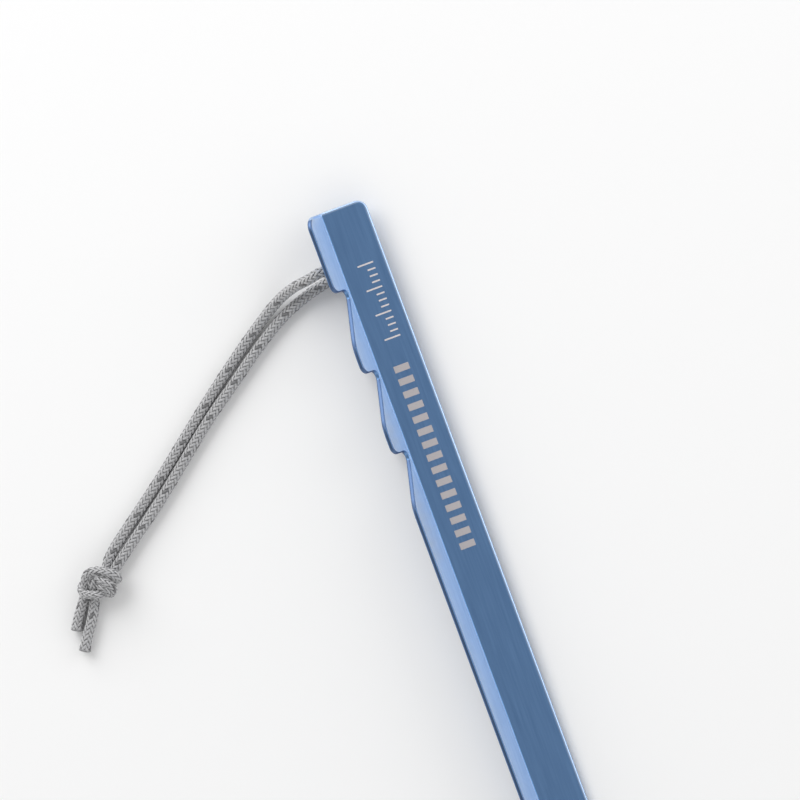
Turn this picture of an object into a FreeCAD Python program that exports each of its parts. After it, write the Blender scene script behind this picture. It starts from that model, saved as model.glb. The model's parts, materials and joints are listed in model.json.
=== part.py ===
import FreeCAD, Part
import math
import os
import Sketcher

# A Y-section aluminium tent stake with a cord pull loop, lying on a flat surface.
# Frame: +Z up, +Y from the point to the head, +X towards the edge of the wide plain fin.
# The stake body is drawn upright in its own frame, with Z from the point (0) to the head,
# and its Placement lays it down: on its plain fin and its lower hooked fin at the point
# end, and on the cord that passes under the lower fin at the head end.

SIZES = {
    "stake_length": 200.0,
    "fin_thickness": 1.1,
    "plain_fin_reach": 10.3,
    "hook_fin_reach": 6.0,
    "valley_radius": 0.35,
    "edge_rounding": 0.35,
    "plain_head_corner": 2.3,
    "hook_head_corner": 2.9,
    "tip_length": 25.0,
    "tip_reach": 1.1,
    "tip_shoulder_radius": 12.0,
    "tip_corner_radius": 0.5,
    "first_notch": 17.3,
    "notch_pitch": 18.5,
    "notch_count": 3.0,
    "notch_root_reach": 0.9,
    "notch_root_radius": 1.4,
    "notch_lip_radius": 1.9,
    "notch_ramp_angle": 25.9,
    "notch_ramp_radius": 9.0,
    "hole_diameter": 3.2,
    "hole_reach": 2.8,
    "hole_from_head": 12.4,
    "roll_angle": 21.4,
    "head_pitch": 1.0,
    "cord_diameter": 2.5,
    "knot_length": 9.8,
    "knot_width": 7.2,
    "knot_height": 6.2,
    "knot_x": -81.2,
    "knot_y": 42.0,
}

# Angles of the fins about the stake's own axis.
FIN_ANGLES = {"plain": 0.0, "lower_hook": 120.0, "upper_hook": -120.0}

# Centreline points of the cord in millimetres, in the part's frame. Both strands start at
# the middle of the cord hole and end inside the knot; both tails start inside the knot.
CORDS = {
    "cord_strand_over": [
        (-4.6, 87.6, 5.2), (-5.6, 88.0, 6.5), (-7.3, 88.1, 7.2), (-10.1, 87.5, 6.8), (-14.2, 87.3, 4.9),
        (-20.0, 86.0, 2.3), (-28.5, 81.2, 1.3), (-37.3, 75.4, 1.4), (-47.9, 67.9, 1.3), (-60.6, 58.4, 1.4),
        (-69.4, 52.5, 1.3), (-76.5, 47.6, 1.7), (-80.5, 43.4, 2.6),
    ],
    "cord_strand_under": [
        (-4.6, 87.6, 5.2), (-3.7, 87.3, 4.1), (-3.9, 87.0, 2.4), (-5.1, 86.6, 1.3), (-8.1, 85.7, 1.25),
        (-13.4, 84.6, 1.3), (-20.9, 82.0, 1.25), (-29.4, 77.0, 1.3), (-36.7, 71.9, 1.25), (-45.0, 66.2, 1.3),
        (-54.0, 59.3, 1.25), (-62.6, 52.9, 1.3), (-71.2, 47.4, 1.25), (-77.0, 43.4, 1.8), (-79.6, 40.8, 2.4),
    ],
    "cord_tail_short": [
        (-83.6, 42.6, 2.4), (-86.6, 39.9, 1.5), (-88.3, 37.8, 1.25), (-89.7, 36.1, 1.3), (-90.7, 34.3, 1.25),
    ],
    "cord_tail_long": [
        (-82.6, 41.6, 2.4), (-84.4, 39.1, 1.4), (-85.4, 36.9, 1.25), (-87.1, 34.4, 1.3), (-89.0, 32.0, 1.25),
        (-90.6, 29.5, 1.3),
    ],
}
# An arc takes this share of the shorter run at a corner of the cord's route.
ARC_SHARE = 0.45


def make_sheet(doc):
    """Write every driving size into the spreadsheet, one named cell each."""
    sheet = doc.addObject("Spreadsheet::Sheet", "sizes")
    for row, (alias, value) in enumerate(SIZES.items(), start=1):
        sheet.set(f"A{row}", alias)
        sheet.set(f"B{row}", str(value))
        sheet.setAlias(f"B{row}", alias)
    doc.recompute()
    return sheet


def origin_plane(body, role):
    """Return one of a body's own origin planes."""
    return next(plane for plane in body.Origin.OriginFeatures if plane.Role == role)


def place_point(sketch, geometry, end, x_text, y_text):
    """Tie one sketch point to two expressions, measured from the sketch's origin."""
    for kind, text in (("DistanceX", x_text), ("DistanceY", y_text)):
        value = getattr(sketch.getPoint(geometry, end), "x" if kind == "DistanceX" else "y")
        index = sketch.addConstraint(Sketcher.Constraint(kind, -1, 1, geometry, end, value))
        sketch.setExpression(f"Constraints[{index}]", text)


def add_sketch(body, name, angle=None):
    """Add a sketch: on the section plane, or on the plane of the fin at an angle."""
    sketch = body.newObject("Sketcher::SketchObject", name)
    sketch.AttachmentSupport = [(origin_plane(body, "XY_Plane" if angle is None else "XZ_Plane"), "")]
    sketch.MapMode = "FlatFace"
    if angle is not None:
        turn = FreeCAD.Rotation(FreeCAD.Vector(0, 1, 0), angle)
        sketch.AttachmentOffset = FreeCAD.Placement(FreeCAD.Vector(), turn)
    return sketch


def draw_polygon(sketch, corners):
    """Draw a closed polygon through corners given as (x, y, x expression, y expression)."""
    count = len(corners)
    for index, (x, y, _, _) in enumerate(corners):
        following = corners[(index + 1) % count]
        start = FreeCAD.Vector(x, y, 0)
        stop = FreeCAD.Vector(following[0], following[1], 0)
        sketch.addGeometry(Part.LineSegment(start, stop))
    for index in range(count):
        sketch.addConstraint(Sketcher.Constraint("Coincident", index, 2, (index + 1) % count, 1))
    for index, (_, _, x_text, y_text) in enumerate(corners):
        place_point(sketch, index, 1, x_text, y_text)


def section_sketch(body, size):
    """Draw the extruded Y section: three flat fins joined by rounded valleys."""
    sketch = add_sketch(body, "section")
    half = size["fin_thickness"] / 2
    tangent = (half + size["valley_radius"]) / math.tan(math.radians(60))
    tangent_text = "(sizes.fin_thickness / 2 + sizes.valley_radius) / tan(60 deg)"
    corners = []
    for name in ("plain", "lower_hook", "upper_hook"):
        angle = FIN_ANGLES[name]
        fin = name.split("_")[-1]
        reach = size[f"{fin}_fin_reach"]
        reach_text = f"sizes.{fin}_fin_reach"
        cosine = math.cos(math.radians(angle))
        sine = math.sin(math.radians(angle))
        root = (tangent, tangent_text)
        edge = (reach, reach_text)
        for (along, along_text), side in ((root, -1), (edge, -1), (edge, 1), (root, 1)):
            offset_text = f"{side} * sizes.fin_thickness / 2"
            corners.append((
                along * cosine - side * half * sine,
                along * sine + side * half * cosine,
                f"{along_text} * cos({angle} deg) - {offset_text} * sin({angle} deg)",
                f"{along_text} * sin({angle} deg) + {offset_text} * cos({angle} deg)",
            ))
    count = len(corners)
    valley_center = (half + size["valley_radius"]) / math.sin(math.radians(60))
    for index, corner in enumerate(corners):
        following = corners[(index + 1) % count]
        start = FreeCAD.Vector(corner[0], corner[1], 0)
        stop = FreeCAD.Vector(following[0], following[1], 0)
        if index % 4 != 3:
            sketch.addGeometry(Part.LineSegment(start, stop))
            continue
        bisector = math.radians(FIN_ANGLES["plain"] + 60 + 120 * (index // 4))
        middle = valley_center - size["valley_radius"]
        deepest = FreeCAD.Vector(middle * math.cos(bisector), middle * math.sin(bisector), 0)
        sketch.addGeometry(Part.Arc(start, deepest, stop))
    for index in range(count):
        following = (index + 1) % count
        end = 1 if index % 4 == 3 else 2
        start = 2 if following % 4 == 3 else 1
        sketch.addConstraint(Sketcher.Constraint("Coincident", index, end, following, start))
    for index, (_, _, x_text, y_text) in enumerate(corners):
        place_point(sketch, index, 2 if index % 4 == 3 else 1, x_text, y_text)
        if index % 4 == 3:
            rounding = sketch.addConstraint(Sketcher.Constraint("Radius", index, size["valley_radius"]))
            sketch.setExpression(f"Constraints[{rounding}]", "sizes.valley_radius")
    return sketch


def pad_section(body, size):
    """Extrude the section over the whole length."""
    pad = body.newObject("PartDesign::Pad", "extrusion")
    pad.Profile = section_sketch(body, size)
    pad.setExpression("Length", "sizes.stake_length")
    return pad


def cut_through(body, name, sketch):
    """Cut a sketch through its fin, both ways from the fin's middle plane."""
    pocket = body.newObject("PartDesign::Pocket", name)
    pocket.Profile = sketch
    pocket.SideType = "Symmetric"
    pocket.Length = 8.0
    pocket.setExpression("Length", "sizes.fin_thickness * 4")
    return pocket


def taper_tip(body, name, size):
    """Cut one fin back to the point over the tip length."""
    reach = "plain_fin_reach" if name == "plain" else "hook_fin_reach"
    slope = (size[reach] - size["tip_reach"]) / size["tip_length"]
    slope_text = f"(sizes.{reach} - sizes.tip_reach) / sizes.tip_length"
    low = -1.0
    high = size["tip_length"] + 1.0
    sketch = add_sketch(body, f"{name}_tip_outline", FIN_ANGLES[name])
    draw_polygon(sketch, [
        (size["tip_reach"] + slope * low, low, f"sizes.tip_reach - {slope_text}", "-1"),
        (size[reach] + slope, low, f"sizes.{reach} + {slope_text}", "-1"),
        (size[reach] + slope, high, f"sizes.{reach} + {slope_text}", "sizes.tip_length + 1"),
    ])
    return cut_through(body, f"{name}_tip_cut", sketch)


def notch_sketch(body, name, size):
    """Draw the notch nearest the head: a square wall, a round root and a long ramp."""
    sketch = add_sketch(body, f"{name}_notch_outline", FIN_ANGLES[name])
    wall = size["stake_length"] - size["first_notch"]
    radius = size["notch_root_radius"]
    slant = math.radians(size["notch_ramp_angle"])
    center = FreeCAD.Vector(size["notch_root_reach"] + radius, wall - radius, 0)
    outside = size["hook_fin_reach"] + 1.0
    arc_end = center + FreeCAD.Vector(-math.cos(slant), -math.sin(slant), 0) * radius
    ramp_end = arc_end + FreeCAD.Vector(1, -1 / math.tan(slant), 0) * (outside - arc_end.x)
    wall_start = FreeCAD.Vector(outside, wall, 0)
    wall_end = FreeCAD.Vector(center.x, wall, 0)
    deepest = center + FreeCAD.Vector(-radius, 0, 0)
    sketch.addGeometry(Part.LineSegment(wall_start, wall_end))
    sketch.addGeometry(Part.Arc(wall_end, deepest, arc_end))
    sketch.addGeometry(Part.LineSegment(arc_end, ramp_end))
    sketch.addGeometry(Part.LineSegment(ramp_end, wall_start))
    sketch.addConstraint(Sketcher.Constraint("Tangent", 0, 2, 1, 1))
    sketch.addConstraint(Sketcher.Constraint("Tangent", 1, 2, 2, 1))
    sketch.addConstraint(Sketcher.Constraint("Coincident", 2, 2, 3, 1))
    sketch.addConstraint(Sketcher.Constraint("Coincident", 3, 2, 0, 1))
    sketch.addConstraint(Sketcher.Constraint("Vertical", 3))
    root = sketch.addConstraint(Sketcher.Constraint("Radius", 1, radius))
    sketch.setExpression(f"Constraints[{root}]", "sizes.notch_root_radius")
    place_point(sketch, 1, 3, "sizes.notch_root_reach + sizes.notch_root_radius",
                "sizes.stake_length - sizes.first_notch - sizes.notch_root_radius")
    edge = sketch.addConstraint(Sketcher.Constraint("DistanceX", -1, 1, 3, 1, outside))
    sketch.setExpression(f"Constraints[{edge}]", "sizes.hook_fin_reach + 1")
    sketch.addConstraint(Sketcher.Constraint("Horizontal", 0))
    lean = sketch.addConstraint(Sketcher.Constraint("Angle", -1, 1, 2, 1, slant - math.pi / 2))
    sketch.setExpression(f"Constraints[{lean}]", "sizes.notch_ramp_angle - 90")
    return sketch


def cut_notches(body, name, size):
    """Cut the row of hook notches in one hooked fin."""
    sketch = notch_sketch(body, name, size)
    first = cut_through(body, f"{name}_notch", sketch)
    pattern = body.newObject("PartDesign::LinearPattern", f"{name}_notch_row")
    pattern.Originals = [first]
    pattern.Direction = (sketch, ["V_Axis"])
    pattern.Reversed = True
    pattern.setExpression("Length", "sizes.notch_pitch * (sizes.notch_count - 1)")
    pattern.setExpression("Occurrences", "sizes.notch_count")
    body.Tip = pattern
    return pattern


def drill_hole(body, size):
    """Drill the cord hole through the lower hooked fin, near the head."""
    sketch = add_sketch(body, "cord_hole_outline", FIN_ANGLES["lower_hook"])
    center = FreeCAD.Vector(size["hole_reach"], size["stake_length"] - size["hole_from_head"], 0)
    sketch.addGeometry(Part.Circle(center, FreeCAD.Vector(0, 0, 1), size["hole_diameter"] / 2))
    place_point(sketch, 0, 3, "sizes.hole_reach", "sizes.stake_length - sizes.hole_from_head")
    bore = sketch.addConstraint(Sketcher.Constraint("Diameter", 0, size["hole_diameter"]))
    sketch.setExpression(f"Constraints[{bore}]", "sizes.hole_diameter")
    return cut_through(body, "cord_hole", sketch)


def corner_edges(shape, name, reach, heights):
    """Name the edges that cross one fin's thickness at a reach and at given heights."""
    angle = math.radians(FIN_ANGLES[name])
    found = []
    for index, edge in enumerate(shape.Edges, start=1):
        ends = [vertex.Point for vertex in edge.Vertexes]
        if len(ends) != 2:
            continue
        middle = (ends[0] + ends[1]) / 2
        along = middle.x * math.cos(angle) + middle.y * math.sin(angle)
        across = middle.y * math.cos(angle) - middle.x * math.sin(angle)
        if abs(along - reach) > 0.01 or abs(across) > 0.01 or abs(ends[0].z - ends[1].z) > 0.01:
            continue
        if any(abs(middle.z - height) < 0.01 for height in heights):
            found.append(f"Edge{index}")
    return found


def round_corners(body, label, base, radius_text, picks):
    """Round the corners of the fins' outlines, given as (fin, reach, heights)."""
    fillet = body.newObject("PartDesign::Fillet", label)
    edges = [edge for pick in picks for edge in corner_edges(base.Shape, *pick)]
    fillet.Base = (base, edges)
    fillet.setExpression("Radius", radius_text)
    body.Document.recompute()
    return fillet


def face_normal(face, point):
    """Return a face's outward normal at the point on it nearest a given point."""
    u, v = face.Surface.parameter(point)
    return face.normalAt(u, v)


def sharp_edges(shape):
    """Name every edge where two faces meet at a real angle that sticks out."""
    found = []
    for index, edge in enumerate(shape.Edges, start=1):
        faces = shape.ancestorsOfType(edge, Part.Face)
        if len(faces) != 2:
            continue
        middle = edge.valueAt((edge.FirstParameter + edge.LastParameter) / 2)
        normals = [face_normal(face, middle) for face in faces]
        if math.degrees(normals[0].getAngle(normals[1])) > 20:
            found.append(f"Edge{index}")
    return found


def lay_down(size):
    """Turn the upright stake so that it lies head towards +Y with its head end raised."""
    roll = FreeCAD.Rotation(FreeCAD.Vector(0, 0, 1), size["roll_angle"])
    onto_side = FreeCAD.Rotation(FreeCAD.Vector(1, 0, 0), -90)
    pitch = FreeCAD.Rotation(FreeCAD.Vector(1, 0, 0), size["head_pitch"])
    return pitch * onto_side * roll


def make_stake(doc, size):
    """Build the one-piece metal stake and lay it down on the floor."""
    body = doc.addObject("PartDesign::Body", "stake")
    body.Label = "stake"
    pad_section(body, size)
    for name in FIN_ANGLES:
        taper_tip(body, name, size)
    doc.recompute()
    for name in ("lower_hook", "upper_hook"):
        cut_notches(body, name, size)
        doc.recompute()
    last = drill_hole(body, size)
    doc.recompute()

    length = size["stake_length"]
    hooks = ("lower_hook", "upper_hook")
    walls = [length - size["first_notch"] - size["notch_pitch"] * index
             for index in range(round(size["notch_count"]))]
    slant = math.radians(size["notch_ramp_angle"])
    root = size["notch_root_radius"]
    ramp_start = size["notch_root_reach"] + root * (1 - math.cos(slant))
    ramp_drop = root * (1 + math.sin(slant)) + (size["hook_fin_reach"] - ramp_start) / math.tan(slant)
    ramps = [wall - ramp_drop for wall in walls]
    land_room = f"(sizes.notch_pitch - {ramp_drop} - sizes.notch_lip_radius)"
    land_limit = f"0.9 * {land_room} / tan(sizes.notch_ramp_angle * 1 deg / 2)"
    reach = size["hook_fin_reach"]
    last = round_corners(body, "plain_head_rounding", last, "sizes.plain_head_corner",
                         [("plain", size["plain_fin_reach"], [length])])
    last = round_corners(body, "hook_head_rounding", last, "sizes.hook_head_corner",
                         [(name, reach, [length]) for name in hooks])
    last = round_corners(body, "notch_lips", last, "sizes.notch_lip_radius",
                         [(name, reach, walls) for name in hooks])
    last = round_corners(body, "notch_ramp_ends", last, f"min(sizes.notch_ramp_radius; {land_limit})",
                         [(name, reach, ramps) for name in hooks])
    shoulders = [(name, reach, [size["tip_length"]]) for name in hooks]
    shoulders.append(("plain", size["plain_fin_reach"], [size["tip_length"]]))
    last = round_corners(body, "tip_shoulders", last, "sizes.tip_shoulder_radius", shoulders)
    last = round_corners(body, "tip_corners", last, "sizes.tip_corner_radius",
                         [(name, size["tip_reach"], [0.0]) for name in FIN_ANGLES])
    tumbled = body.newObject("PartDesign::Fillet", "tumbled_edges")
    tumbled.Base = (last, sharp_edges(last.Shape))
    tumbled.setExpression("Radius", "sizes.edge_rounding")
    doc.recompute()
    turned = lay_down(size)
    upright = body.Shape.copy()
    upright.Placement = FreeCAD.Placement(FreeCAD.Vector(), turned)
    box = upright.optimalBoundingBox(False)
    shift = FreeCAD.Vector(-(box.XMin + box.XMax) / 2, -(box.YMin + box.YMax) / 2, -box.ZMin)
    body.Placement = FreeCAD.Placement(shift, turned)
    return body


def cord_path(label, points):
    """Join a cord's points with straight runs and tangent arcs, and print the arc radii."""
    corners = [FreeCAD.Vector(*point) for point in points]
    edges = []
    radii = []
    start = corners[0]
    for before, corner, after in zip(corners, corners[1:], corners[2:]):
        back = before - corner
        ahead = after - corner
        turn = math.pi - back.getAngle(ahead)
        setback = ARC_SHARE * min(back.Length, ahead.Length)
        radius = setback / math.tan(turn / 2)
        radii.append(round(radius, 2))
        back.normalize()
        ahead.normalize()
        arc_start = corner + back * setback
        arc_stop = corner + ahead * setback
        inward = back + ahead
        inward.normalize()
        middle = corner + inward * (radius / math.cos(turn / 2) - radius)
        edges.append(Part.LineSegment(start, arc_start).toShape())
        edges.append(Part.Arc(arc_start, middle, arc_stop).toShape())
        start = arc_stop
    edges.append(Part.LineSegment(start, corners[-1]).toShape())
    wire = Part.Wire(edges)
    print(label, "length", round(wire.Length, 1), "radii", radii)
    return wire


def make_cord(doc, sheet, label, points):
    """Build one plain round tube of cord along its route."""
    radius = sheet.get("cord_diameter") / 2
    path = cord_path(label, points)
    start = path.Edges[0].valueAt(path.Edges[0].FirstParameter)
    heading = path.Edges[0].tangentAt(path.Edges[0].FirstParameter)
    ring = Part.Wire(Part.Circle(start, heading, radius).toShape())
    tube = path.makePipeShell([ring], True, False)
    expected = math.pi * radius ** 2 * path.Length
    if abs(tube.Volume - expected) > 0.01 * expected:
        raise RuntimeError(f"{label}: tube volume {tube.Volume:.1f}, expected {expected:.1f}")
    cord = doc.addObject("Part::Feature", label)
    cord.Label = label
    cord.Shape = tube
    cord.Placement = FreeCAD.Placement()
    return cord


def make_knot(doc, size):
    """Build the outer shape of the knot as one rounded solid lying on the floor."""
    knot = doc.addObject("Part::Ellipsoid", "cord_knot")
    knot.Label = "cord_knot"
    knot.setExpression("Radius1", "sizes.knot_height / 2")
    knot.setExpression("Radius2", "sizes.knot_length / 2")
    knot.setExpression("Radius3", "sizes.knot_width / 2")
    center = FreeCAD.Vector(size["knot_x"], size["knot_y"], size["knot_height"] / 2)
    knot.Placement = FreeCAD.Placement(center, FreeCAD.Rotation())
    return knot


def check_objects(doc, parts):
    """Stop if any object failed or any sub-part has no valid solid."""
    for item in doc.Objects:
        if "Invalid" in item.State or "Error" in item.State:
            raise RuntimeError(f"{item.Name} failed: {item.State}")
    for part in parts:
        if part.Shape.isNull() or not part.Shape.isValid() or not part.Shape.Solids:
            raise RuntimeError(f"{part.Label} is not a valid solid")


def main():
    """Build the stake and its cord, check them and write one file for each."""
    doc = FreeCAD.newDocument("tent_stake")
    sheet = make_sheet(doc)
    size = {alias: sheet.get(alias) for alias in SIZES}
    parts = [make_stake(doc, size), make_knot(doc, size)]
    parts += [make_cord(doc, sheet, label, points) for label, points in CORDS.items()]
    doc.recompute()
    check_objects(doc, parts)
    os.makedirs("parts", exist_ok=True)
    for part in parts:
        part.Shape.exportStep(f"parts/{part.Label}.step")
        print(part.Label, "volume", round(part.Shape.Volume, 1), "mm3")


main()
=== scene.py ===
import bpy
import json
import math
from mathutils import Matrix, Vector


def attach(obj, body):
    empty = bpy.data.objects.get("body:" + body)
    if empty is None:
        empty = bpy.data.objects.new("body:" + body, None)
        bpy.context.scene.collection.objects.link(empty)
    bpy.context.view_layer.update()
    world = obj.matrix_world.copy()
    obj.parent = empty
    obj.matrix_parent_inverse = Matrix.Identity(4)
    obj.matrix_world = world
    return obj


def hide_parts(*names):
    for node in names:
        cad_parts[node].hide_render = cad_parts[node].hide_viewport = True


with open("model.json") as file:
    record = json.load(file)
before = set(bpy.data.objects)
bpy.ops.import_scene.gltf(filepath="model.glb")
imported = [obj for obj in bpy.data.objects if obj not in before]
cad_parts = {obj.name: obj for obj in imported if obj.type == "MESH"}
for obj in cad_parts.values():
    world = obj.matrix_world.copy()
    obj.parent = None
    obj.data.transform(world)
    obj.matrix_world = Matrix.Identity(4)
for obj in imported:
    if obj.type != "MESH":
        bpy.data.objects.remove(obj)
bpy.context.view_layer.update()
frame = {"nodes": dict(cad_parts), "record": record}


# Stake: one length of extruded aluminium alloy with a Y section, notched and drilled, with
# rounded edges, and anodised blue. It lies rolled on two fins, its head end raised a degree
# by the cord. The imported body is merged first, so that its edges shade as one skin.
MM = 0.001
ROLL = math.radians(21.4)
PITCH = math.radians(1.0)
along = Vector((0, math.cos(PITCH), math.sin(PITCH)))
wide = Vector((math.cos(ROLL), math.sin(ROLL) * math.sin(PITCH), -math.sin(ROLL) * math.cos(PITCH)))
face = wide.cross(along)
STRIKE_FACE_FROM_AXIS = 5 * MM
head_centre = Vector(frame["record"]["mounts"][0]["pos_m"]) - wide * STRIKE_FACE_FROM_AXIS

bpy.ops.object.select_all(action="DESELECT")
frame["nodes"]["stake"].select_set(True)
bpy.context.view_layer.objects.active = frame["nodes"]["stake"]
bpy.ops.object.duplicate()
stake = bpy.context.object
stake.name = "anodised_stake"
for key in list(stake.keys()):
    del stake[key]
stake.parent = None
stake.matrix_world = Matrix.Identity(4)
bpy.ops.object.mode_set(mode="EDIT")
bpy.ops.mesh.select_all(action="SELECT")
bpy.ops.mesh.remove_doubles(threshold=0.001 * MM)
bpy.ops.object.mode_set(mode="OBJECT")
bpy.ops.object.shade_smooth()
weighted = stake.modifiers.new("flat_faces_stay_flat", "WEIGHTED_NORMAL")
weighted.mode = "FACE_AREA"
weighted.weight = 100
bpy.ops.object.modifier_apply(modifier=weighted.name)

anodised = bpy.data.materials.new("blue_anodised_aluminium")
anodised.use_nodes = True
nodes = anodised.node_tree.nodes
links = anodised.node_tree.links
shader = nodes["Principled BSDF"]
shader.inputs["Metallic"].default_value = 1.0
# Fine lines along the extrusion, drawn by the die, show in the dye and in the gloss.
place = nodes.new("ShaderNodeTexCoord")
stretch = nodes.new("ShaderNodeMapping")
stretch.inputs["Scale"].default_value = (1.0, 0.03, 1.0)
stretch.inputs["Rotation"].default_value = (PITCH, 0, 0)
links.new(place.outputs["Object"], stretch.inputs["Vector"])
die_lines = nodes.new("ShaderNodeTexNoise")
die_lines.inputs["Scale"].default_value = 2500
die_lines.inputs["Detail"].default_value = 4
links.new(stretch.outputs["Vector"], die_lines.inputs["Vector"])
dye = nodes.new("ShaderNodeValToRGB")
dye.color_ramp.elements[0].position = 0.3
dye.color_ramp.elements[0].color = (0.15, 0.285, 0.53, 1)
dye.color_ramp.elements[1].position = 0.72
dye.color_ramp.elements[1].color = (0.175, 0.32, 0.57, 1)
links.new(die_lines.outputs["Fac"], dye.inputs["Fac"])
# A paler band half a millimetre in from the wide fin's rims, a painted highlight. Chosen for its
# look, not known.
PAINTED_HIGHLIGHT_BLUE = (0.42, 0.57, 0.8, 1)
PALE_BAND_FROM_AXIS = 9.75 * MM
PALE_BAND_FROM_HEAD = 0.55 * MM
PALE_BAND_BLUR = 0.1 * MM
painted_rim_highlight = nodes.new("ShaderNodeMix")
painted_rim_highlight.data_type = "RGBA"
painted_rim_highlight.blend_type = "MIX"
painted_rim_highlight.inputs["B"].default_value = PAINTED_HIGHLIGHT_BLUE
reaches = []
for direction, rim in ((wide, PALE_BAND_FROM_AXIS), (along, -PALE_BAND_FROM_HEAD)):
    reach = nodes.new("ShaderNodeVectorMath")
    reach.operation = "DOT_PRODUCT"
    reach.inputs[1].default_value = direction
    links.new(place.outputs["Object"], reach.inputs[0])
    edge = nodes.new("ShaderNodeMapRange")
    start = head_centre.dot(direction) + rim
    edge.inputs["From Min"].default_value = start - PALE_BAND_BLUR
    edge.inputs["From Max"].default_value = start + PALE_BAND_BLUR
    links.new(reach.outputs["Value"], edge.inputs["Value"])
    reaches.append(edge)
either = nodes.new("ShaderNodeMath")
either.operation = "MAXIMUM"
links.new(reaches[0].outputs["Result"], either.inputs[0])
links.new(reaches[1].outputs["Result"], either.inputs[1])
links.new(either.outputs["Value"], painted_rim_highlight.inputs["Factor"])
links.new(dye.outputs["Color"], painted_rim_highlight.inputs["A"])
links.new(painted_rim_highlight.outputs["Result"], shader.inputs["Base Color"])
gloss = nodes.new("ShaderNodeMapRange")
gloss.inputs["To Min"].default_value = 0.36
gloss.inputs["To Max"].default_value = 0.46
links.new(die_lines.outputs["Fac"], gloss.inputs["Value"])
links.new(gloss.outputs["Result"], shader.inputs["Roughness"])
stake.data.materials.clear()
stake.data.materials.append(anodised)
# Three more copies of the material, each on its own group of faces, carry painted light: a
# painted highlight on the head's and the wide fin's rims, a painted reflection on the valley
# walls beside it, and painted shade on the notched fins' cut edges. All three are chosen for
# their look. The real dye may be even.
EVEN_BLUE, RIM_PAINTED_HIGHLIGHT, VALLEY_PAINTED_REFLECTION, CUT_EDGE_PAINTED_SHADE = range(4)
for name, low, high in (
    ("rims_painted_highlight", PAINTED_HIGHLIGHT_BLUE, (0.46, 0.61, 0.84, 1)),
    ("valleys_painted_reflection", (0.56, 0.62, 0.69, 1), (0.66, 0.71, 0.77, 1)),
    ("cut_edges_painted_shade", (0.09, 0.15, 0.28, 1), (0.11, 0.17, 0.31, 1)),
):
    finish = anodised.copy()
    finish.name = name
    painted_light_ramp = finish.node_tree.nodes["Color Ramp"].color_ramp
    painted_light_ramp.elements[0].color = low
    painted_light_ramp.elements[1].color = high
    stake.data.materials.append(finish)
FLAT = 0.97
RIM_FROM_AXIS = 9 * MM
RIM_FROM_HEAD = 0.5 * MM
NOTCHED_SIDE = -0.7 * MM
fin_faces = [Matrix.Rotation(math.radians(turn), 3, along) @ face for turn in (0, 120, 240)]
# Painted light by faces: the painted highlight on the rims, the painted reflection on the valley
# walls that face the wide fin's side, and painted shade on the notched fins' cut edges.
for polygon in stake.data.polygons:
    from_axis = (polygon.center - head_centre).dot(wide)
    from_head = (head_centre - polygon.center).dot(along)
    if max(abs(polygon.normal.dot(fin_face)) for fin_face in fin_faces) > FLAT:
        polygon.material_index = VALLEY_PAINTED_REFLECTION if polygon.normal.dot(wide) > 0.5 else EVEN_BLUE
    elif from_head < RIM_FROM_HEAD or from_axis > RIM_FROM_AXIS:
        polygon.material_index = RIM_PAINTED_HIGHLIGHT
    else:
        polygon.material_index = EVEN_BLUE if from_axis > NOTCHED_SIDE else CUT_EDGE_PAINTED_SHADE
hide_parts("stake")
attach(stake, "stake_body")


# Laser marks: a plain depth scale and a row of plain bars bleached into the dye on the wide
# fin's upper face. Each is a skin a few hundredths of a millimetre thick.
# Sizes are millimetres from the stake's axis and from its head edge.
MARK_THICKNESS = 0.02
FIN_HALF_THICKNESS = 0.55
mark_plane = Matrix((wide, along, face)).transposed().to_4x4()
mark_plane.translation = head_centre + face * (FIN_HALF_THICKNESS - MARK_THICKNESS / 2) * MM


def flat_mark(name, width, length, from_axis, from_head):
    """Add one flat oblong, drawn in millimetres, at its place on the fin."""
    bpy.ops.object.select_all(action="DESELECT")
    bpy.ops.mesh.primitive_circle_add(vertices=4, radius=1, fill_type="NGON")
    mark = bpy.context.object
    mark.name = name
    mark.data.transform(Matrix.Rotation(math.radians(45), 4, "Z"))
    mark.data.transform(Matrix.Scale(math.sqrt(2), 4))
    mark.data.transform(Matrix.Diagonal((width / 2, length / 2, 1, 1)))
    mark.data.transform(Matrix.Translation((from_axis, -from_head, 0)))
    return mark


def burn_marks(name, marks, colour):
    """Join flat marks, give them their thickness, set them on the fin and colour them."""
    bpy.ops.object.select_all(action="DESELECT")
    for mark in marks:
        mark.select_set(True)
    bpy.context.view_layer.objects.active = marks[0]
    bpy.ops.object.join()
    burnt = bpy.context.object
    burnt.name = name
    bpy.ops.object.mode_set(mode="EDIT")
    bpy.ops.mesh.select_all(action="SELECT")
    bpy.ops.mesh.normals_make_consistent(inside=False)
    bpy.ops.mesh.extrude_region_move(TRANSFORM_OT_translate={"value": (0, 0, 2 * MARK_THICKNESS)})
    bpy.ops.mesh.select_all(action="SELECT")
    bpy.ops.mesh.normals_make_consistent(inside=False)
    bpy.ops.object.mode_set(mode="OBJECT")
    burnt.data.transform(Matrix.Scale(MM, 4))
    burnt.data.transform(mark_plane)
    bare = bpy.data.materials.new(name + "_bleached_dye")
    bare.use_nodes = True
    bare_shader = bare.node_tree.nodes["Principled BSDF"]
    bare_shader.inputs["Base Color"].default_value = colour
    bare_shader.inputs["Roughness"].default_value = 0.65
    burnt.data.materials.clear()
    burnt.data.materials.append(bare)
    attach(burnt, "stake_body")


TICK_PITCH = 1.4
ticks = []
for tick in range(13):
    reach = 3.6 if tick % 4 == 0 else 1.8
    ticks.append(flat_mark("tick", reach, 0.34, 7.4 - reach / 2, 13.6 + TICK_PITCH * tick))
burn_marks("small_laser_marks", ticks, (0.62, 0.58, 0.57, 1))

BAR_PITCH = 2.9
bars = [flat_mark("bar", 3.4, 1.5, 5.2, 37.2 + BAR_PITCH * bar) for bar in range(15)]
burn_marks("large_laser_marks", bars, (0.41, 0.385, 0.395, 1))
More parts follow.
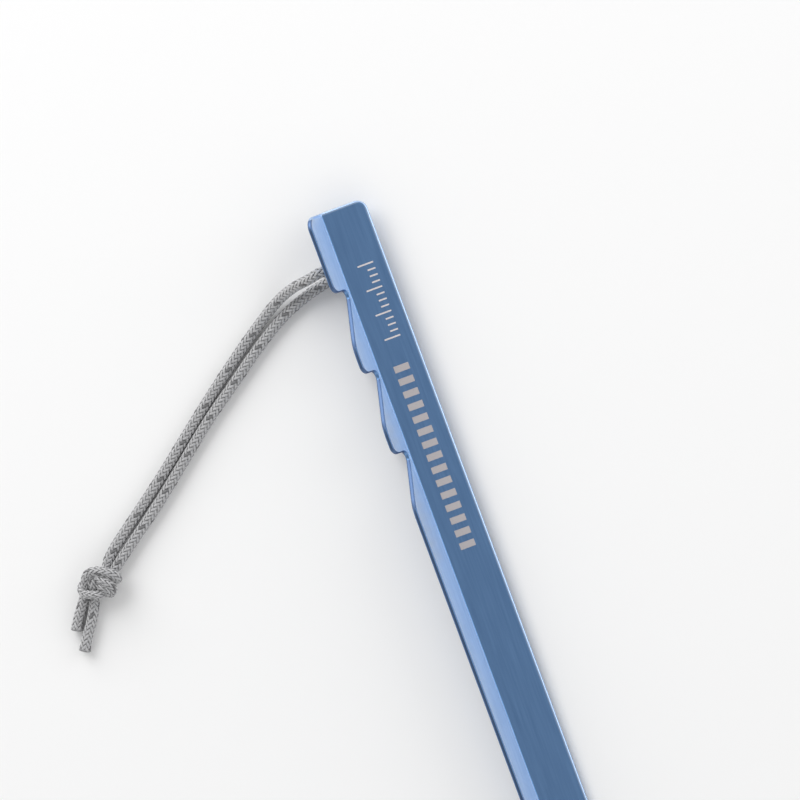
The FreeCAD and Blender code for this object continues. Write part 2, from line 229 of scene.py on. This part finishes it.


# Pull cord: one length of 2.5 mm braided cord, taken as polyester, through the hole. Its two
# ends are laid together and tied in an overhand knot, and its tails are drawn melted. Each
# half is one route from the hole to its tail, listed point by point and too tight inside the knot.
STRANDS_EACH_WAY = 8
BRAID_PITCH = 9.7 * MM
STRAND_WIDTH = 0.72 * MM
STRAND_THICKNESS = 0.42 * MM
CARRIER_RADIUS = 0.9 * MM
WEAVE = 0.15 * MM
KNOT_SQUEEZE = 0.82
KNOT_SIZE = 0.93
KNOT_REACH = 3.6 * MM
KNOT_EDGE = 1.6 * MM
TAIL_FLARE = 0.14
TAIL_FLARE_LENGTH = 1.1 * MM
CORE_RADIUS = 0.82
# Painted shade: how much of the yarn's colour each of a strand's six corners keeps, all of it on its
# top and near black down its sides.
PAINTED_LIGHT_BY_CORNER = (0.15, 1.0, 1.0, 0.15, 0.0, 0.0)
GREY, BLACK, CORE = range(3)
knot_centre = Vector((-81.2, 42.0, 3.1)) * MM


def in_knot(right, up, height):
    """A knot point from its place seen squarely to the fin and its height, in millimetres."""
    across = KNOT_SIZE * right + 0.348 * (height - 3.1)
    above = KNOT_SIZE * up + 0.111 * (height - 3.1)
    shift = Vector((1.009 * across + 0.368 * above, 0.937 * above - 0.349 * across, height - 3.1))
    return tuple(knot_centre + shift * MM)


OVER_HALF = [
    (-0.0046, 0.0876, 0.0052), (-0.0056, 0.0880, 0.0065), (-0.0073, 0.0881, 0.0072),
    (-0.0101, 0.0875, 0.0068), (-0.0142, 0.0873, 0.0049), (-0.0200, 0.0860, 0.0023),
    (-0.0285, 0.0812, 0.0013), (-0.0373, 0.0754, 0.0014), (-0.0479, 0.0679, 0.0013),
    (-0.0606, 0.0584, 0.0014), (-0.0694, 0.0525, 0.0013), (-0.0765, 0.0476, 0.0017),
    in_knot(1.5, 3.6, 2.0), in_knot(0.4, 2.3, 2.8), in_knot(-1.0, 1.3, 4.0),
    in_knot(0.2, 0.7, 4.9), in_knot(1.6, 0.0, 4.9), in_knot(3.2, -0.9, 4.0),
    in_knot(3.0, -2.5, 2.6), in_knot(1.2, -2.3, 2.2), in_knot(0.6, -2.5, 3.8),
    in_knot(-0.9, -2.8, 4.9), in_knot(-2.6, -2.8, 4.6), in_knot(-4.2, -2.2, 3.4),
    in_knot(-4.0, -0.4, 2.0), in_knot(-1.6, -0.2, 1.2), in_knot(0.6, -0.2, 1.2),
    in_knot(2.6, 0.2, 1.6), in_knot(4.5, 0.8, 2.9), in_knot(3.4, 2.0, 4.4),
    in_knot(1.4, 2.6, 5.0), in_knot(-0.8, 2.9, 5.2), in_knot(-2.9, 2.3, 5.0),
    in_knot(-3.6, 0.4, 4.5), in_knot(-3.1, -1.4, 3.4), in_knot(-3.0, -2.7, 2.2),
    (-0.0866, 0.0399, 0.0015), (-0.0883, 0.0378, 0.00125),
    (-0.0897, 0.0361, 0.0013), (-0.0907, 0.0343, 0.00125),
]
UNDER_HALF = [
    (-0.0046, 0.0876, 0.0052), (-0.0037, 0.0873, 0.0041), (-0.0039, 0.0870, 0.0024),
    (-0.0051, 0.0866, 0.0013), (-0.0082, 0.0858, 0.00125), (-0.0136, 0.0847, 0.0013),
    (-0.0211, 0.0821, 0.00125), (-0.0296, 0.0771, 0.0013), (-0.0370, 0.0721, 0.00125),
    (-0.0455, 0.0667, 0.0013), (-0.0545, 0.0598, 0.00125), (-0.0631, 0.0534, 0.0013),
    (-0.0716, 0.0478, 0.00125),
    in_knot(3.2, 2.8, 1.8), in_knot(1.9, 1.3, 2.5), in_knot(0.4, 0.3, 3.0),
    in_knot(-0.7, -0.3, 3.8), in_knot(0.5, -0.9, 4.6), in_knot(1.9, -1.5, 4.2),
    in_knot(2.4, -2.3, 2.8), in_knot(0.6, -1.8, 2.2), in_knot(-1.0, -2.0, 2.8),
    in_knot(-2.8, -1.6, 2.8), in_knot(-3.4, -0.4, 1.9), in_knot(-1.8, 0.9, 1.2),
    in_knot(0.4, 1.0, 1.2), in_knot(2.6, 1.4, 1.6), in_knot(3.8, 0.6, 3.0),
    in_knot(2.4, 0.9, 4.1), in_knot(0.8, 1.6, 4.3), in_knot(-0.8, 1.7, 4.6),
    in_knot(-2.0, 1.1, 4.9), in_knot(-1.6, -0.5, 4.6), in_knot(-1.4, -1.7, 3.4),
    in_knot(-1.2, -2.8, 2.2),
    (-0.0844, 0.0391, 0.0014), (-0.0854, 0.0369, 0.00125),
    (-0.0871, 0.0344, 0.0013), (-0.0890, 0.0320, 0.00125), (-0.0906, 0.0295, 0.0013),
]


def route_points(name, points, step):
    """Lay a smooth line along the points and read it back in even steps."""
    data = bpy.data.curves.new(name, "CURVE")
    data.dimensions = "3D"
    spline = data.splines.new("NURBS")
    spline.points.add(len(points) - 1)
    for control, point in zip(spline.points, points):
        control.co = (*point, 1)
    spline.order_u = 3
    spline.use_endpoint_u = True
    spline.resolution_u = 24
    line = bpy.data.objects.new(name, data)
    bpy.context.scene.collection.objects.link(line)
    mesh = bpy.data.meshes.new_from_object(line)
    dense = [vertex.co.copy() for vertex in mesh.vertices]
    bpy.data.meshes.remove(mesh)
    bpy.data.objects.remove(line)
    gaps = [(b - a).length for a, b in zip(dense, dense[1:])]
    count = round(sum(gaps) / step)
    step = sum(gaps) / count
    even = [dense[0]]
    travelled = 0.0
    for start, end, gap in zip(dense, dense[1:], gaps):
        while len(even) < count and travelled + gap >= step * len(even):
            even.append(start.lerp(end, (step * len(even) - travelled) / gap))
        travelled += gap
    even.append(dense[-1])
    return even, step


def smooth_step(value):
    """Go from 0 to 1 without a corner."""
    value = min(max(value, 0), 1)
    return value * value * (3 - 2 * value)


def add_tube(verts, faces, materials, rings, material):
    """Skin a list of equal rings of points, close both ends and note the material."""
    first = len(verts)
    sides = len(rings[0])
    for ring_points in rings:
        verts.extend(ring_points)
    for row in range(len(rings) - 1):
        for side in range(sides):
            a = first + row * sides + side
            b = first + row * sides + (side + 1) % sides
            faces.append((a, b, b + sides, a + sides))
            materials.append(material)
    faces.append(tuple(first + side for side in reversed(range(sides))))
    faces.append(tuple(first + (len(rings) - 1) * sides + side for side in range(sides)))
    materials.extend((material, material))


def cord_sections(points, step):
    """Give each point its heading, two directions across it and its share of full width."""
    before = points[:1] + points[:-1]
    after = points[1:] + points[-1:]
    tangents = [(b - a).normalized() for a, b in zip(before, after)]
    side = tangents[0].orthogonal().normalized()
    sections = []
    for index, (point, tangent) in enumerate(zip(points, tangents)):
        side = (side - tangent * side.dot(tangent)).normalized()
        away = (point - knot_centre).length
        swell = KNOT_SQUEEZE + (1 - KNOT_SQUEEZE) * smooth_step((away - KNOT_REACH) / KNOT_EDGE)
        from_end = (len(points) - 1 - index) * step
        swell *= 1 + TAIL_FLARE * smooth_step(1 - from_end / TAIL_FLARE_LENGTH)
        sections.append((point, tangent, side.copy(), tangent.cross(side), swell))
    return sections


def strand_rings(sections, step, hand, strand):
    """Wind one strand round the cord, rising and sinking as it crosses the other hand."""
    rings = []
    for index, (point, tangent, side, up, swell) in enumerate(sections):
        angle = math.tau * (strand / STRANDS_EACH_WAY + hand * index * step / BRAID_PITCH)
        out = side * math.cos(angle) + up * math.sin(angle)
        turn = up * math.cos(angle) - side * math.sin(angle)
        lift = hand * WEAVE * math.cos(STRANDS_EACH_WAY / 2 * angle - math.pi / 4)
        radius = (CARRIER_RADIUS + lift) * swell
        heading = (tangent * BRAID_PITCH + turn * hand * math.tau * radius).normalized()
        across = out.cross(heading)
        rings.append([
            point + out * radius
            + across * math.cos(math.tau * corner / 6) * STRAND_WIDTH / 2 * swell
            + out * math.sin(math.tau * corner / 6) * STRAND_THICKNESS / 2 * swell
            for corner in range(6)])
    return rings


def braid(name, points, step):
    """Plait strands of both hands round a core along the points, and melt the tail's end."""
    sections = cord_sections(points, step)
    verts = []
    faces = []
    materials = []
    painted_light_shares = []
    for hand in (1, -1):
        for strand in range(STRANDS_EACH_WAY):
            rings = strand_rings(sections, step, hand, strand)
            tracer = hand == 1 and strand == 0
            add_tube(verts, faces, materials, rings, BLACK if tracer else GREY)
            painted_light_shares.extend(PAINTED_LIGHT_BY_CORNER * len(rings))
    core = []
    for point, tangent, side, up, swell in sections:
        core.append([
            point + (side * math.cos(math.tau * corner / 12) + up * math.sin(math.tau * corner / 12))
            * CORE_RADIUS * MM * swell
            for corner in range(12)])
    add_tube(verts, faces, materials, core, CORE)
    # Painted shade: the core keeps none of its colour.
    painted_light_shares.extend([0.0] * (len(verts) - len(painted_light_shares)))
    point, tangent, side, up, swell = sections[-1]
    bead = []
    for advance, radius in ((-0.45, 1.0), (-0.15, 1.3), (0.05, 1.34), (0.25, 1.1), (0.35, 0.5)):
        bead.append([
            point + tangent * advance * MM
            + (side * math.cos(math.tau * corner / 24) + up * math.sin(math.tau * corner / 24))
            * (radius + 0.06 * math.cos(5 * math.tau * corner / 24)) * MM
            for corner in range(24)])
    add_tube(verts, faces, materials, bead, GREY)
    # Painted shade: the melted bead keeps a little over half of its colour all round.
    painted_light_shares.extend([0.55] * (len(verts) - len(painted_light_shares)))
    mesh = bpy.data.meshes.new(name)
    mesh.from_pydata(verts, [], faces)
    mesh.attributes.new("painted_light_share", "FLOAT", "POINT").data.foreach_set("value", painted_light_shares)
    cord = bpy.data.objects.new(name, mesh)
    bpy.context.scene.collection.objects.link(cord)
    for finish in (grey_yarn, black_yarn, core_painted_gap_shade):
        mesh.materials.append(finish)
    mesh.polygons.foreach_set("material_index", materials)
    mesh.validate()
    bpy.ops.object.select_all(action="DESELECT")
    cord.select_set(True)
    bpy.context.view_layer.objects.active = cord
    bpy.ops.object.mode_set(mode="EDIT")
    bpy.ops.mesh.select_all(action="SELECT")
    bpy.ops.mesh.normals_make_consistent(inside=False)
    bpy.ops.object.mode_set(mode="OBJECT")
    bpy.ops.object.shade_smooth()
    return cord


def yarn(name, colour, roughness):
    """Matt polyester yarn whose colour is uneven from fibre to fibre, with painted shade down the
    strands' sides.
    """
    finish = bpy.data.materials.new(name)
    finish.use_nodes = True
    yarn_nodes = finish.node_tree.nodes
    yarn_links = finish.node_tree.links
    yarn_shader = yarn_nodes["Principled BSDF"]
    yarn_shader.inputs["Roughness"].default_value = roughness
    yarn_shader.inputs["Sheen Weight"].default_value = 0.15
    where = yarn_nodes.new("ShaderNodeTexCoord")
    fibres = yarn_nodes.new("ShaderNodeTexNoise")
    fibres.inputs["Scale"].default_value = 3000
    fibres.inputs["Detail"].default_value = 3
    yarn_links.new(where.outputs["Object"], fibres.inputs["Vector"])
    shades = yarn_nodes.new("ShaderNodeValToRGB")
    shades.color_ramp.elements[0].position = 0.35
    shades.color_ramp.elements[0].color = (*(channel * 0.8 for channel in colour), 1)
    shades.color_ramp.elements[1].position = 0.62
    shades.color_ramp.elements[1].color = (*colour, 1)
    yarn_links.new(fibres.outputs["Fac"], shades.inputs["Fac"])
    # Painted shade: the yarn's colour goes towards near black where the attribute read here is low,
    # down the strands' sides.
    painted_light_share = yarn_nodes.new("ShaderNodeAttribute")
    painted_light_share.attribute_name = "painted_light_share"
    painted_shade_mix = yarn_nodes.new("ShaderNodeMix")
    painted_shade_mix.data_type = "RGBA"
    painted_shade_mix.inputs["A"].default_value = (0.012, 0.012, 0.012, 1)
    yarn_links.new(painted_light_share.outputs["Fac"], painted_shade_mix.inputs["Factor"])
    yarn_links.new(shades.outputs["Color"], painted_shade_mix.inputs["B"])
    yarn_links.new(painted_shade_mix.outputs["Result"], yarn_shader.inputs["Base Color"])
    return finish


grey_yarn = yarn("grey_yarn", (0.5, 0.5, 0.51), 0.5)
black_yarn = yarn("black_yarn", (0.2, 0.2, 0.205), 0.6)
# Painted shade: the core is near black, so that the gaps between the strands look shaded.
core_painted_gap_shade = yarn("core_painted_gap_shade", (0.03, 0.03, 0.03), 0.8)

for name, points, nodes in (
    ("cord_half_over", OVER_HALF, ("cord_strand_over", "cord_tail_short", "cord_knot")),
    ("cord_half_under", UNDER_HALF, ("cord_strand_under", "cord_tail_long")),
):
    route, step = route_points(name, points, 0.36 * MM)
    cord = braid(name, route, step)
    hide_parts(*nodes)
    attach(cord, "pull_loop")


# Camera: square to the wide fin, the head up and to the left, through a long lens.
LEAN = math.radians(20.4)
VIEW_WIDTH = 0.1724
CAMERA_DISTANCE = 8.0
SENSOR = 36.0
aim = head_centre + wide * 0.00242 + face * 0.00055 - along * 0.0436
camera_right = wide * math.cos(LEAN) - along * math.sin(LEAN)
camera_up = wide * math.sin(LEAN) + along * math.cos(LEAN)
bpy.ops.object.camera_add(location=aim + face * CAMERA_DISTANCE)
camera = bpy.context.object
camera.name = "studio_camera"
camera.rotation_euler = Matrix((camera_right, camera_up, face)).transposed().to_euler()
camera.data.sensor_width = SENSOR
camera.data.lens = SENSOR * CAMERA_DISTANCE / VIEW_WIDTH
camera.data.clip_start = 0.05
camera.data.clip_end = 20
bpy.context.scene.camera = camera
bpy.context.scene.view_settings.view_transform = "Standard"

# Studio: a pale floor, air that is bright at its sides and dim overhead, so that the wide
# fin's face stays deep blue, a large soft light at the head and a small one at the fin's side.
bpy.ops.object.select_all(action="DESELECT")
bpy.ops.mesh.primitive_plane_add(size=6, location=(0, 0, -0.0001))
floor = bpy.context.object
floor.name = "floor"
paper = bpy.data.materials.new("white_paper")
paper.use_nodes = True
paper_shader = paper.node_tree.nodes["Principled BSDF"]
paper_shader.inputs["Base Color"].default_value = (0.92, 0.92, 0.92, 1)
paper_shader.inputs["Roughness"].default_value = 0.9
paper_shader.inputs["Specular IOR Level"].default_value = 0.1
floor.data.materials.append(paper)

air = bpy.data.worlds.new("studio_air")
air.use_nodes = True
air_nodes = air.node_tree.nodes
air_links = air.node_tree.links
air_nodes["Background"].inputs["Color"].default_value = (1, 1, 1, 1)
direction = air_nodes.new("ShaderNodeTexCoord")
overhead = air_nodes.new("ShaderNodeVectorMath")
overhead.operation = "DOT_PRODUCT"
overhead.inputs[1].default_value = (-0.12, -0.01, 0.99)
air_links.new(direction.outputs["Generated"], overhead.inputs[0])
dim = air_nodes.new("ShaderNodeMapRange")
dim.inputs["From Min"].default_value = 0.66
dim.inputs["From Max"].default_value = 0.82
dim.inputs["To Min"].default_value = 0.95
dim.inputs["To Max"].default_value = 0.26
air_links.new(overhead.outputs["Value"], dim.inputs["Value"])
air_links.new(dim.outputs["Result"], air_nodes["Background"].inputs["Strength"])
bpy.context.scene.world = air


def softbox(name, place, size, power):
    """Hang one square soft light that faces the head end of the stake."""
    bpy.ops.object.light_add(type="AREA", location=place)
    lamp = bpy.context.object
    lamp.name = name
    lamp.data.size = size
    lamp.data.energy = power
    lamp.rotation_euler = (aim - lamp.location).to_track_quat("-Z", "Y").to_euler()


softbox("head_softbox", (-0.35, 1.2, 0.8), 1.3, 15)
softbox("fin_side_softbox", (1.2, 0.2, 0.4), 0.8, 4)
